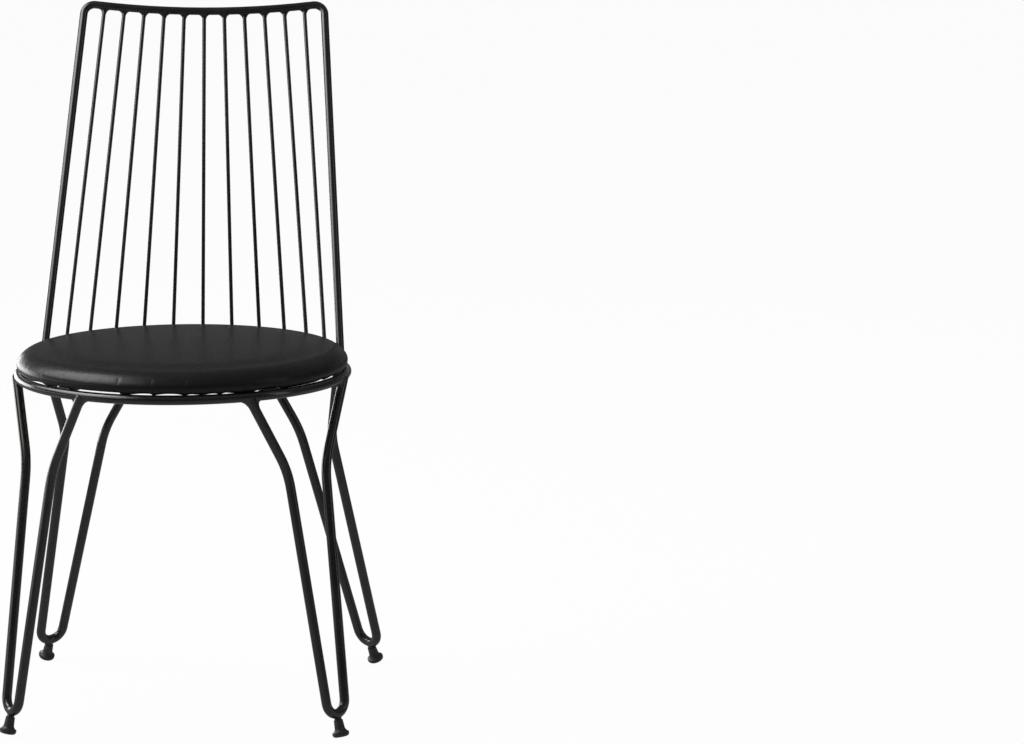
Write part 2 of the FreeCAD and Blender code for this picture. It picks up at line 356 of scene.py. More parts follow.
def tone_group():
    """Two tones of one finish that drift into each other over the surface."""
    name = "Drifting tone"
    if name in bpy.data.node_groups:
        return bpy.data.node_groups[name]
    tree, ins, outs = node_group(
        name,
        [("Deep", "NodeSocketColor", (0.02, 0.02, 0.02, 1)),
         ("Pale", "NodeSocketColor", (0.04, 0.04, 0.04, 1)),
         ("Scale", "NodeSocketFloat", 14.0)],
        [("Colour", "NodeSocketColor"), ("Mask", "NodeSocketFloat")])
    drift = clouds(tree, object_place(tree), ins.outputs["Scale"], Detail=5.0, Roughness=0.6)
    mask = ramp_between(tree, drift, 0.36, 0.66)
    colour = mix_colour(tree, mask, ins.outputs["Deep"], ins.outputs["Pale"])
    tree.links.new(colour, outs.inputs["Colour"])
    tree.links.new(mask, outs.inputs["Mask"])
    return tree


def grain_group():
    """Fine pebbles with soft valleys between them, as in cast skins and sprayed coats."""
    name = "Pebbled skin"
    if name in bpy.data.node_groups:
        return bpy.data.node_groups[name]
    tree, ins, outs = node_group(
        name,
        [("Scale", "NodeSocketFloat", 900.0), ("Soft", "NodeSocketFloat", 0.5)],
        [("Height", "NodeSocketFloat"), ("Valley", "NodeSocketFloat")])
    place = object_place(tree)
    cells = add_node(tree, "ShaderNodeTexVoronoi")
    tree.links.new(place, cells.inputs["Vector"])
    tree.links.new(ins.outputs["Scale"], cells.inputs["Scale"])
    distance = cells.outputs["Distance"]
    coarser = math_node(tree, "MULTIPLY", ins.outputs["Scale"], 0.45)
    sway = math_node(tree, "MULTIPLY", clouds(tree, place, coarser, Detail=3.0), 0.5)
    power = math_node(tree, "ADD", 1.0, ins.outputs["Soft"])
    hump = math_node(tree, "SUBTRACT", 1.0, math_node(tree, "POWER", distance, power))
    tree.links.new(math_node(tree, "ADD", hump, sway), outs.inputs["Height"])
    tree.links.new(ramp_between(tree, distance, 0.35, 0.75), outs.inputs["Valley"])
    return tree


def dust_group():
    """A thin film that lies on what faces up, broken into patches."""
    name = "Settled dust"
    if name in bpy.data.node_groups:
        return bpy.data.node_groups[name]
    tree, ins, outs = node_group(
        name,
        [("Amount", "NodeSocketFloat", 0.2), ("Scale", "NodeSocketFloat", 60.0)],
        [("Mask", "NodeSocketFloat")])
    patches = clouds(tree, object_place(tree), ins.outputs["Scale"], Detail=6.0, Roughness=0.7)
    facing = ramp_between(tree, upward(tree), 0.1, 1.0)
    film = math_node(tree, "MULTIPLY", facing, ramp_between(tree, patches, 0.42, 0.75))
    mask = math_node(tree, "MULTIPLY", film, ins.outputs["Amount"])
    tree.links.new(mask, outs.inputs["Mask"])
    return tree


def wear_group():
    """Small rubbed spots and hairline scuffs."""
    name = "Rubbed spots"
    if name in bpy.data.node_groups:
        return bpy.data.node_groups[name]
    tree, ins, outs = node_group(
        name,
        [("Scale", "NodeSocketFloat", 120.0), ("Amount", "NodeSocketFloat", 0.5)],
        [("Mask", "NodeSocketFloat")])
    place = stretched_place(tree, (1.0, 1.0, 0.22), (0.3, 0.9, 0.4))
    spots = clouds(tree, place, ins.outputs["Scale"], Detail=8.0, Roughness=0.72)
    mask = ramp_between(tree, spots, 0.60, 0.74)
    tree.links.new(math_node(tree, "MULTIPLY", mask, ins.outputs["Amount"]), outs.inputs["Mask"])
    return tree


def place_group(tree, group, **values):
    node = tree.nodes.new("ShaderNodeGroup")
    node.node_tree = group
    for key, value in values.items():
        node.inputs[key].default_value = value
    return node


def new_finish(name):
    finish = bpy.data.materials.new(name)
    finish.use_nodes = True
    tree = finish.node_tree
    return finish, tree, tree.nodes["Principled BSDF"]


def bump_from(tree, shader, height, distance, strength, under=None):
    node = add_node(tree, "ShaderNodeBump", Strength=strength, Distance=distance)
    tree.links.new(height, node.inputs["Height"])
    if under is not None:
        tree.links.new(under, node.inputs["Normal"])
    tree.links.new(node.outputs["Normal"], shader.inputs["Normal"])
    return node.outputs["Normal"]


def rough_from(tree, shader, mask, low, high):
    node = add_node(tree, "ShaderNodeMapRange", To_Min=low, To_Max=high)
    tree.links.new(mask, node.inputs["Value"])
    tree.links.new(node.outputs["Result"], shader.inputs["Roughness"])


def shade(colour, share=0.0):
    """An opaque colour, made lighter or darker by a share of itself."""
    return tuple(c * (1 + share) for c in colour) + (1.0,)


def grey(value):
    return (value, value, value, 1.0)


def two_tones(tree, colour, share, scale):
    return place_group(tree, tone_group(), Deep=shade(colour), Pale=shade(colour, share),
                       Scale=scale)


DUST = (0.20, 0.19, 0.18, 1.0)


def powder_coat():
    name = "Satin powder coat"
    if name in bpy.data.materials:
        return bpy.data.materials[name]
    looks = bpy.context.scene.chair_metal
    finish, tree, shader = new_finish(name)
    tone = two_tones(tree, looks.paint, 0.5, 18.0)
    dust = place_group(tree, dust_group(), Amount=0.05, Scale=70.0)
    colour = mix_colour(tree, dust.outputs["Mask"], tone.outputs["Colour"], DUST)
    tree.links.new(colour, shader.inputs["Base Color"])
    rough = looks.paint_rough
    rough_from(tree, shader, tone.outputs["Mask"], rough - 0.04, rough + 0.06)
    shader.inputs["Specular IOR Level"].default_value = looks.paint_gloss
    peel = place_group(tree, grain_group(), Scale=1100.0, Soft=1.0)
    bump_from(tree, shader, peel.outputs["Height"], 0.08 * MM, looks.paint_peel)
    return finish


def moulded_plastic():
    looks = bpy.context.scene.chair_fittings
    finish, tree, shader = new_finish("Moulded glide plastic")
    tone = two_tones(tree, looks.plastic, 0.35, 90.0)
    worn = place_group(tree, wear_group(), Scale=260.0, Amount=0.45)
    rubbed = shade(looks.plastic, 3.0)
    colour = mix_colour(tree, worn.outputs["Mask"], tone.outputs["Colour"], rubbed)
    tree.links.new(colour, shader.inputs["Base Color"])
    rough_from(tree, shader, worn.outputs["Mask"], 0.46, 0.66)
    shader.inputs["Specular IOR Level"].default_value = 0.35
    texture = place_group(tree, grain_group(), Scale=2400.0, Soft=0.6)
    bump_from(tree, shader, texture.outputs["Height"], 0.03 * MM, 0.35)
    return finish


def zinc_plate():
    name = "Zinc plated steel"
    if name in bpy.data.materials:
        return bpy.data.materials[name]
    looks = bpy.context.scene.chair_fittings
    finish, tree, shader = new_finish(name)
    tone = two_tones(tree, looks.zinc, 0.25, 420.0)
    tree.links.new(tone.outputs["Colour"], shader.inputs["Base Color"])
    worn = place_group(tree, wear_group(), Scale=500.0, Amount=0.6)
    rough_from(tree, shader, worn.outputs["Mask"], 0.32, 0.55)
    shader.inputs["Metallic"].default_value = 1.0
    lines = place_group(tree, grain_group(), Scale=3200.0, Soft=0.3)
    bump_from(tree, shader, lines.outputs["Height"], 0.02 * MM, 0.3)
    return finish


PLY_PAIR = 3.0 * MM


def plywood():
    looks = bpy.context.scene.chair_fittings
    finish, tree, shader = new_finish("Seat board plywood")
    place = stretched_place(tree, (1.0, 14.0, 1.0))
    figure = clouds(tree, place, 16.0, Detail=7.0, Roughness=0.62, Distortion=0.6)
    pores = clouds(tree, place, 120.0, Detail=4.0, Roughness=0.7)
    grain = ramp_between(tree, figure, 0.34, 0.68)
    face = mix_colour(tree, grain, shade(looks.ply), shade(looks.ply, -0.38))
    pits = math_node(tree, "MULTIPLY", ramp_between(tree, pores, 0.58, 0.72), 0.5)
    face = mix_colour(tree, pits, face, (0.16, 0.09, 0.045, 1.0))
    phase = math_node(tree, "MULTIPLY", one_axis(tree, object_place(tree), "Z"),
                      2 * math.pi / PLY_PAIR)
    plies = ramp_between(tree, math_node(tree, "SINE", phase), -0.2, 0.2)
    edge = ramp_between(tree, math_node(tree, "ABSOLUTE", upward(tree)), 0.6, 0.3)
    bands = math_node(tree, "MULTIPLY", plies, edge)
    colour = mix_colour(tree, bands, face, (0.20, 0.115, 0.06, 1.0))
    tree.links.new(colour, shader.inputs["Base Color"])
    rough_from(tree, shader, grain, 0.55, 0.75)
    bump_from(tree, shader, pores, 0.08 * MM, 0.4)
    return finish


def foam_block():
    finish, tree, shader = new_finish("Cut foam")
    tone = place_group(tree, tone_group(), Deep=(0.56, 0.50, 0.36, 1.0),
                       Pale=(0.66, 0.60, 0.45, 1.0), Scale=40.0)
    tree.links.new(tone.outputs["Colour"], shader.inputs["Base Color"])
    cells = place_group(tree, grain_group(), Scale=1400.0, Soft=0.1)
    rough_from(tree, shader, cells.outputs["Valley"], 0.8, 0.95)
    bump_from(tree, shader, cells.outputs["Height"], 0.3 * MM, 0.8)
    return finish


def leatherette():
    looks = bpy.context.scene.chair_pad
    finish, tree, shader = new_finish("Black leatherette")
    tone = two_tones(tree, looks.skin, 0.3, 16.0)
    grain = place_group(tree, grain_group(), Scale=looks.grain, Soft=0.55)
    valley = grain.outputs["Valley"]
    # Painted shade: the cover's colour is made darker in the grain's valleys, where shade would
    # fall
    colour = mix_colour(tree, valley, tone.outputs["Colour"], shade(looks.skin, -0.4))
    dust = place_group(tree, dust_group(), Amount=0.012, Scale=45.0)
    colour = mix_colour(tree, dust.outputs["Mask"], colour, DUST)
    tree.links.new(colour, shader.inputs["Base Color"])
    rough_from(tree, shader, valley, looks.skin_rough, looks.skin_rough + 0.16)
    shader.inputs["Specular IOR Level"].default_value = looks.skin_gloss
    creases = clouds(tree, object_place(tree), 42.0, Detail=3.0, Roughness=0.5)
    under = bump_from(tree, shader, creases, 1.2 * MM, 0.12)
    bump_from(tree, shader, grain.outputs["Height"], 0.16 * MM, 0.2, under)
    return finish


def dress(names, finish):
    for name in names:
        slots = frame["nodes"][name].data.materials
        slots.clear()
        slots.append(finish)


# Lines of the frame's bars

def leg_bars(corner):
    """Ring point and downward direction of a hairpin's two bars, the lowest point of their
    centre line, the stud's axis, and the U bend's centre and normal."""
    side, azimuth, spread, lean, knee_w, knee_t = LEGS[corner]
    a, tilt = math.radians(azimuth), math.radians(lean)
    out = Vector((side * math.sin(a), -math.cos(a), 0))
    across = Vector((side * math.cos(a), math.sin(a), 0))
    down = out * math.sin(tilt) - UP * math.cos(tilt)
    top_r = RING_R + BAR_OUTSET
    middle = RING_CENTRE + out * top_r * math.cos(math.radians(spread))
    bars = []
    for hand in (-1, 1):
        foot = middle + across * hand * top_r * math.sin(math.radians(spread))
        knee = middle + across * hand * knee_w + down * knee_t
        bars.append((foot, (knee - foot).normalized()))
    sole = SOLES[f"{corner}_sole"]
    axis = Vector(sole["axis"])
    lowest = Vector(sole["pos_m"]) - axis * SOLE_T
    return bars, lowest, axis, lowest - down * U_BEND_R, down.cross(across).normalized()


def hoop_point(x, share):
    foot_y = -POST_R * math.cos(math.radians(POST_AZIMUTH))
    return RING_CENTRE + Vector((x, foot_y + (HOOP_TOP.y - foot_y) * share, HOOP_TOP.z * share))


def hoop_lines():
    """The rail's circle, the two posts' feet and directions, and each spoke's two ends."""
    top = hoop_point(0.0, 1.0)
    rise = (top - hoop_point(0.0, 0.0)).normalized()
    length = (top - hoop_point(0.0, 0.0)).length
    centre = top + rise * (RAIL_R - RAIL_DIP)
    axis = rise.cross(Vector((1, 0, 0))).normalized()
    posts = []
    for side in (-1, 1):
        foot = hoop_point(side * POST_R * math.sin(math.radians(POST_AZIMUTH)), 0.0)
        posts.append((foot, (hoop_point(side * HOOP_TOP_X, 1.0) - foot).normalized()))
    spokes = []
    for n in range(1, SPOKES + 1):
        share = 2.0 * n / (SPOKES + 1) - 1
        low = around_seat(RING_R + BAR_OUTSET, 180 - share * (180 - POST_AZIMUTH))
        x = HOOP_TOP_X * share
        up = length - RAIL_DIP + RAIL_R - math.sqrt(RAIL_R ** 2 - x ** 2)
        spokes.append((low, hoop_point(x, up / length)))
    return centre, axis, posts, spokes


# The pad

def pad_profile(inset):
    """The cover's skin, as radius and height over the hem, from its inner edge to the crown."""
    headings = [math.radians(a) for a in PAD_HEADINGS]
    side, upper = headings[1], headings[2]
    lower_r, side_r, upper_r = PAD_ARCS
    edge = PAD_R - side_r * (1 - math.sin(side)) - upper_r * (math.sin(side) - math.sin(upper))
    r = PAD_R - lower_r * math.sin(headings[0]) - side_r * (1 - math.sin(headings[0]))
    points = [(HEM_R + (r - HEM_R) * i / 6, inset) for i in range(6)]
    z, heading = 0.0, 0.0
    bends = (lower_r, side_r, upper_r, edge / math.sin(upper))
    for bend, end, steps in zip(bends, headings + [math.pi], PAD_STEPS):
        centre = (r - bend * math.sin(heading), z + bend * math.cos(heading))
        for i in range(steps):
            a = heading + (end - heading) * i / steps
            points.append((centre[0] + (bend - inset) * math.sin(a),
                           centre[1] - (bend - inset) * math.cos(a)))
        r, z = centre[0] + bend * math.sin(end), centre[1] - bend * math.cos(end)
        heading = end
    return points, z - inset


TUCK_START = -3.7
TUCK_STEPS = (0.38, 1.0, 2.4, 4.3)


def tuck_angles(count):
    """Azimuths of the skin's columns, close together at each tuck."""
    cell = 360.0 / count
    steps = (0.0, *TUCK_STEPS, *(cell - step for step in TUCK_STEPS[::-1]))
    return [n * cell + s + TUCK_START for n in range(count) for s in steps]


# The cover is held at the hem and freed by this share towards this height above it
FREE_SHARE = 0.95
FREE_HEIGHT = 24 * MM


def seat_shell(tucks, inset):
    """A closed skin from crown to hem and back along the board, and how firmly points are held."""
    skin, height = pad_profile(inset)
    under = BOARD_LOW.z - PAD_LOW.z - 0.2 * MM
    over = BOARD_HIGH.z - PAD_LOW.z + 0.4 * MM
    inside_r = BOARD_R + 0.4 * MM
    pocket = [(HEM_R, under), (inside_r, under), (inside_r, over), (inside_r * 0.6, over)]
    profile = skin[::-1] + pocket
    bm = bmesh.new()

    def skin_point(r, a, z):
        return bm.verts.new((PAD_CENTRE.x + r * math.sin(a), PAD_CENTRE.y - r * math.cos(a),
                             PAD_LOW.z + z))

    angles = [math.radians(a) for a in tuck_angles(tucks)]
    rows = [[skin_point(r, a, z) for a in angles] for r, z in profile]
    count = len(angles)
    for low, high in zip(rows, rows[1:]):
        for k in range(count):
            bm.faces.new((low[k], low[(k + 1) % count], high[(k + 1) % count], high[k]))
    crown = skin_point(0.0, 0.0, height)
    inner = skin_point(0.0, 0.0, over)
    for k in range(count):
        bm.faces.new((rows[0][k], rows[0][(k + 1) % count], crown))
        bm.faces.new((rows[-1][(k + 1) % count], rows[-1][k], inner))
    bm.verts.index_update()
    held = {inner.index: 1.0}
    for n, (_, z) in enumerate(profile):
        freed = FREE_SHARE * smooth(0.0, FREE_HEIGHT, z - inset) if n < len(skin) else 0.0
        for v in rows[n]:
            held[v.index] = 1.0 - freed
    return bm, held


CLOTH = {"quality": 6, "mass": 0.3, "tension_stiffness": 40, "compression_stiffness": 40,
         "shear_stiffness": 20, "bending_stiffness": 2.0, "tension_damping": 20,
         "compression_damping": 20, "shear_damping": 20, "use_pressure": True}
CLOTH_FRAMES = 20
EVEN_SPAN = 6


def swell(piece, held, columns, cap, pressure):
    """Blows the cover up with a cloth simulation and keeps its evened outward part, up to cap."""
    group = piece.vertex_groups.new(name="held")
    for index, weight in held.items():
        group.add([index], weight, "REPLACE")
    start = [v.co.copy() for v in piece.data.vertices]
    cloth = piece.modifiers.new("swell", "CLOTH")
    rules = cloth.settings
    rules.vertex_group_mass = "held"
    for key, value in CLOTH.items():
        setattr(rules, key, value)
    rules.uniform_pressure_force = pressure
    rules.effector_weights.gravity = 0
    cloth.collision_settings.use_collision = False
    cloth.collision_settings.use_self_collision = False
    cloth.point_cache.frame_start = 1
    cloth.point_cache.frame_end = CLOTH_FRAMES
    scene = bpy.context.scene
    for step in range(1, CLOTH_FRAMES + 1):
        scene.frame_set(step)
    shaped = piece.evaluated_get(bpy.context.evaluated_depsgraph_get()).data
    moved = [v.co.copy() for v in shaped.vertices]
    piece.modifiers.remove(cloth)
    scene.frame_set(1)
    outward = [v.normal.copy() for v in piece.data.vertices]
    rise = [min(cap, max(0.0, (after - before).dot(out)))
            for before, after, out in zip(start, moved, outward)]
    for first in range(0, len(rise) - columns + 1, columns):
        row = rise[first:first + columns]
        for _ in range(3):
            row = [sum(row[(k + j) % columns] for j in range(-EVEN_SPAN, EVEN_SPAN + 1))
                   / (2 * EVEN_SPAN + 1) for k in range(columns)]
        rise[first:first + columns] = row
    for v, before, out, shift in zip(piece.data.vertices, start, outward, rise):
        v.co = before + out * shift
    piece.vertex_groups.clear()


# Where the cover stands clear of the ring at the front, in degrees of azimuth
CLEAR_SPANS = ((-57, -50), (-45, -39.5), (-33, -15), (-10, -4), (-1, 5.5), (9.3, 10.2),
               (17.2, 18.2), (21.2, 22.3), (59.6, 60.6), (63.6, 65.2), (70.6, 73.2))


def hem_sag(azimuth):
    """How far the cover hangs towards the ring at an azimuth, from 0 to 1."""
    if abs(azimuth) < 80:
        return min(1.0 - smooth(-0.8, 0.3, min(azimuth - a, b - azimuth)) for a, b in CLEAR_SPANS)
    a = math.radians(azimuth)
    return smooth(-0.25, 0.35, noise.noise(Vector((4.5 * math.cos(a), 4.5 * math.sin(a), 2.7))))


def tab_share(azimuth):
    """1 over a tab, 0 away from the tabs."""
    return max(1.0 - smooth(3.2, 5.4, abs((azimuth - tab + 180) % 360 - 180))
               for tab in TAB_AZIMUTHS)


# Heights over the hem, and how a tuck's crease and the lip beside it spread, in degrees
DOME_FROM = 16 * MM
POCKET_HEIGHTS = (0.6 * MM, 14 * MM)
SIDE_HEIGHTS = (1 * MM, 6 * MM)
SHOULDER_START = (9 * MM, 13 * MM)
SHOULDER_END = (16 * MM, 19 * MM)
SAG_HEIGHTS = (0.2 * MM, 5.0 * MM)
CREASE_SPREAD, LIP_PLACE, LIP_SPREAD = 0.40, 1.1, 0.8
SIDE_WAVE = 0.5 * MM
LEAST_SAG = 0.22
RING_SAG_LOSS = 0.32


def shape_details(piece, tucks, tuck_depth, sag, dome):
    """The dome, small tucks on the shoulder, a soft unevenness of the side and the hem's sag."""
    cell = 360.0 / tucks
    for v in piece.data.vertices:
        radial = Vector((v.co.x - PAD_CENTRE.x, v.co.y - PAD_CENTRE.y, 0))
        r = radial.length
        height = v.co.z - PAD_LOW.z
        if height > DOME_FROM:
            v.co.z += dome * max(0.0, 1 - (r / BOARD_R) ** 2)
        in_pocket = r < BOARD_R + 1 * MM and POCKET_HEIGHTS[0] < height < POCKET_HEIGHTS[1]
        if r < BOARD_R - 12 * MM or in_pocket:
            continue
        radial /= r
        azimuth = flat_angle(v.co, PAD_CENTRE)
        number = round((azimuth - TUCK_START) / cell)
        off = azimuth - TUCK_START - number * cell
        own = 0.75 + 0.6 * noise.noise(Vector((number * 1.7, 3.1, 0.4)))
        on_side = smooth(*SIDE_HEIGHTS, height) * smooth(BOARD_R - 8 * MM, BOARD_R + 4 * MM, r)
        shoulder = smooth(*SHOULDER_START, height) * (1 - smooth(*SHOULDER_END, height))
        lip = 0.5 * math.exp(-((off - LIP_PLACE) / LIP_SPREAD) ** 2)
        crease = math.exp(-(off / CREASE_SPREAD) ** 2) - lip
        v.co -= (radial + UP * 0.5) * tuck_depth * own * crease * shoulder
        a = math.radians(azimuth)
        wave = noise.noise(Vector((5 * math.cos(a), 5 * math.sin(a), height * 40)))
        v.co += radial * SIDE_WAVE * wave * on_side
        low = 1 - smooth(*SAG_HEIGHTS, height)
        low *= smooth(BOARD_R - 8 * MM, BOARD_R + 1 * MM, r)
        over_ring = 1 - RING_SAG_LOSS * smooth(RING_R - 4 * MM, RING_R - 2 * MM, r)
        clear = tab_share(azimuth) * (1 - smooth(0, 3 * MM, r - RING_R))
        hang = LEAST_SAG + (1 - LEAST_SAG) * hem_sag(azimuth)
        v.co.z -= sag * hang * low * over_ring * (1 - clear)


class ChairMetal(bpy.types.PropertyGroup):
    paint: FloatVectorProperty(
        name="Paint", description="Colour of the powder coat", subtype="COLOR",
        default=(0.009, 0.009, 0.0095), min=0.0, max=1.0)
    paint_rough: FloatProperty(
        name="Paint roughness", description="How matt the powder coat is", subtype="FACTOR",
        default=0.17, min=0.05, max=0.95)
    paint_gloss: FloatProperty(
        name="Paint gloss", description="How strongly the powder coat reflects", subtype="FACTOR",
        default=0.6, min=0.0, max=1.0)
    paint_peel: FloatProperty(
        name="Orange peel", description="Depth of the coat's fine unevenness", subtype="FACTOR",
        default=0.05, min=0.0, max=1.0)
    leg_weld: FloatProperty(
        name="Leg weld", description="Width of the welds where the legs and posts meet the ring",
        unit="LENGTH", default=6.0 * MM, min=0.5 * MM, max=8 * MM)
    spoke_weld: FloatProperty(
        name="Spoke weld", description="Width of the welds at the spokes' heads",
        unit="LENGTH", default=5.4 * MM, min=0.5 * MM, max=8 * MM)


class ChairFittings(bpy.types.PropertyGroup):
    plastic: FloatVectorProperty(
        name="Glides", description="Colour of the moulded glides", subtype="COLOR",
        default=(0.018, 0.018, 0.018), min=0.0, max=1.0)
    zinc: FloatVectorProperty(
        name="Zinc", description="Colour of the plated screws, inserts, threads and staples",
        subtype="COLOR",
        default=(0.52, 0.53, 0.55), min=0.0, max=1.0)
    ply: FloatVectorProperty(
        name="Plywood", description="Colour of the seat board's face", subtype="COLOR",
        default=(0.52, 0.36, 0.21), min=0.0, max=1.0)
    staples: IntProperty(
        name="Staples", description="Staples that hold the cover under the board",
        default=84, min=12, max=160)


class ChairPad(bpy.types.PropertyGroup):
    skin: FloatVectorProperty(
        name="Leatherette", description="Colour of the seat cover", subtype="COLOR",
        default=(0.0095, 0.0095, 0.0098), min=0.0, max=1.0)
    skin_rough: FloatProperty(
        name="Leatherette roughness", description="How matt the seat cover is", subtype="FACTOR",
        default=0.26, min=0.05, max=0.95)
    skin_gloss: FloatProperty(
        name="Leatherette gloss", description="How strongly the seat cover reflects",
        subtype="FACTOR", default=0.24, min=0.0, max=1.0)
    grain: FloatProperty(
        name="Grain", description="Pebbles of the cover's grain in a metre",
        default=900.0, min=100.0, max=4000.0)
    tucks: IntProperty(
        name="Tucks", description="Small tucks in the cover round the side",
        default=31, min=6, max=60)
    tuck_depth: FloatProperty(
        name="Tuck depth", description="Depth of a tuck on the shoulder", unit="LENGTH",
        default=0.4 * MM, min=0.0, max=3 * MM)
    hem_sag: FloatProperty(
        name="Hem sag", description="How far the cover hangs down onto the ring", unit="LENGTH",
        default=2.6 * MM, min=0.0, max=3 * MM)
    dome: FloatProperty(
        name="Dome", description="How much higher the foam stands in the middle", unit="LENGTH",
        default=2.5 * MM, min=0.0, max=8 * MM)
    pressure: FloatProperty(
        name="Filling", description="Pressure of the foam under the cover",
        default=4.0, min=0.0, max=20.0)
    swell_cap: FloatProperty(
        name="Swell", description="Furthest that the cover may swell", unit="LENGTH",
        default=2 * MM, min=0.0, max=15 * MM)


class ChairStudio(bpy.types.PropertyGroup):
    floor: FloatVectorProperty(
        name="Floor", description="Colour of the studio floor", subtype="COLOR",
        default=(0.88, 0.88, 0.88), min=0.0, max=1.0)
    room: FloatProperty(
        name="Room light", description="Brightness of the room round the floor",
        default=0.18, min=0.0, max=1.0)
    left_wall: FloatProperty(
        name="Left wall",
        description="Brightness of the low wall on the left, as the paint mirrors it",
        default=1.4, min=0.0, max=20.0)
    soft_box: FloatProperty(
        name="Soft box",
        description="Brightness of the soft boxes on the left, as the paint mirrors them",
        default=7.5, min=0.0, max=20.0)
    back_card: FloatProperty(
        name="Back card", description="Brightness of the card behind, as the cover mirrors it",
        default=0.25, min=0.0, max=20.0)
    right_card: FloatProperty(
        name="Right card",
        description="Brightness of the card on the right, as the paint mirrors it",
        default=1.25, min=0.0, max=20.0)
    side_light: FloatProperty(
        name="Side light", description="Power of the soft light on the left", unit="POWER",
        default=105.0, min=0.0)
    top_light: FloatProperty(
        name="Top light", description="Power of the soft light overhead", unit="POWER",
        default=50.0, min=0.0)
    lens: FloatProperty(
        name="Lens", description="Focal length of the camera in millimetres",
        default=137.377, min=10.0)
    camera_place: FloatVectorProperty(
        name="Camera place", description="Where the camera stands", subtype="XYZ", unit="LENGTH",
        default=(0.60738, -4.84169, 1.24171))
    camera_turn: FloatVectorProperty(
        name="Camera turn", description="How the camera is turned", subtype="EULER",
        default=tuple(math.radians(a) for a in (80.46447, 0.07218, 2.31596)))


class CHAIR_OT_paint(bpy.types.Operator):
    """Powder coat on the ring, hoop, spokes, legs, studs and tabs"""
    bl_idname = "chair.paint_frame"
    bl_label = "Paint frame"

    def execute(self, context):
        dress(PAINTED, powder_coat())
        return {"FINISHED"}


# Width and height of the welds: on the studs, and as shares of the leg's and the spoke's weld
STUD_WELD = (1.3 * MM, 1.0 * MM)
LEG_SHARES = (1.0, 2.0)
POST_SHARES = (0.5, 0.9)
SPOKE_FOOT_SHARES = (0.35, 0.7)
SPOKE_HEAD_SHARES = (1.0, 1.35)
HEAD_SEED = 50

# Welds along a tab's edges: half their width, where they start on the ring and how far they run
TAB_WELD_R = 1.5 * MM
TAB_WELD_FROM, TAB_WELD_RUN = 28, 58
TAB_WELD_STEPS = 14


class CHAIR_OT_welds(bpy.types.Operator):
    """Weld beads between the bars, painted with the frame"""
    bl_idname = "chair.weld_frame"
    bl_label = "Weld frame"

    def execute(self, context):
        looks = context.scene.chair_metal
        coat = powder_coat()

        def ring_gap(p):
            return circle_gap(p, RING_CENTRE, UP, RING_R) - BAR_R

        def leg_size(shares):
            return [looks.leg_weld * share for share in shares]

        def spoke_size(shares):
            return [looks.spoke_weld * share for share in shares]

        legs, studs = bmesh.new(), bmesh.new()
        seed = 1
        for corner in LEGS:
            bars, lowest, axis, centre, normal = leg_bars(corner)
            for foot, direction in bars:
                weld(legs, foot, direction, BAR_R, ring_gap, *leg_size(LEG_SHARES), seed)
                seed += 1

            def bend_gap(p, c=centre, n=normal):
                return circle_gap(p, c, n, U_BEND_R) - BAR_R
            weld(studs, lowest, axis, COLLAR_R, bend_gap, *STUD_WELD, seed)
        add_piece("leg_welds", legs, coat)
        add_piece("stud_welds", studs, coat)

        centre, axis, posts, spokes = hoop_lines()

        def rail_gap(p):
            return circle_gap(p, centre, axis, RAIL_R) - HOOP_R

        back = bmesh.new()
        for foot, direction in posts:
            weld(back, foot, direction, HOOP_R, ring_gap, *leg_size(POST_SHARES), seed)
            seed += 1
        add_piece("post_welds", back, coat)
        low_ends, high_ends = bmesh.new(), bmesh.new()
        for low, high in spokes:
            up = (high - low).normalized()
            weld(low_ends, low, up, SPOKE_R, ring_gap, *spoke_size(SPOKE_FOOT_SHARES), seed)
            weld(high_ends, high, -up, SPOKE_R, rail_gap, *spoke_size(SPOKE_HEAD_SHARES),
                 seed + HEAD_SEED)
            seed += 1
        add_piece("spoke_foot_welds", low_ends, coat)
        add_piece("spoke_head_welds", high_ends, coat)

        tabs = bmesh.new()
        for azimuth in TAB_AZIMUTHS:
            out = around_seat(1.0, azimuth) - RING_CENTRE
            across = out.cross(UP)
            for hand in (-1, 1):
                start = RING_CENTRE + out * RING_R + across * hand * TAB_HALF_W
                line, sizes = [], []
                for i in range(TAB_WELD_STEPS + 1):
                    t = i / TAB_WELD_STEPS
                    a = math.radians(TAB_WELD_FROM + TAB_WELD_RUN * t)
                    line.append(start - out * BAR_R * math.cos(a) + UP * BAR_R * math.sin(a))
                    swelling = 0.35 + 0.75 * math.sin(math.pi * (0.12 + 0.76 * t))
                    sizes.append(TAB_WELD_R * swelling * (1 + 0.07 * math.sin(i * 2.1 + seed)))
                tube(tabs, line, sizes, [across * hand] * len(line), 10)
                seed += 1
        add_piece("tab_welds", tabs, coat)
        return {"FINISHED"}


class CHAIR_OT_glides(bpy.types.Operator):
    """Moulded glides with their plated inserts, and the threads of the studs they turn on"""
    bl_idname = "chair.fit_glides"
    bl_label = "Fit glides"

    def execute(self, context):
        dress([f"{corner}_foot" for corner in LEGS], moulded_plastic())
        dress([f"{corner}_insert" for corner in LEGS], zinc_plate())
        for corner in LEGS:
            _, lowest, axis, _, _ = leg_bars(corner)
            side, up = cross_frame(axis)
            line, outs, sizes = [], [], []
            steps = int((THREAD_L - THREAD_PLAIN) / THREAD_PITCH * THREAD_STEPS)
            for i in range(steps + 1):
                turn = 2 * math.pi * i / THREAD_STEPS
                out = side * math.cos(turn) + up * math.sin(turn)
                along = THREAD_START + THREAD_PITCH * i / THREAD_STEPS
                line.append(lowest + axis * along + out * (THREAD_R - THREAD_SINK))
                outs.append(out)
                fade = smooth(0, THREAD_STEPS, i) * smooth(0, THREAD_STEPS, steps - i)
                sizes.append((0.08 + 0.27 * fade) * MM)
            bm = bmesh.new()
            tube(bm, line, sizes, outs, 6)
            add_piece(f"{corner}_thread", bm, zinc_plate())
        return {"FINISHED"}


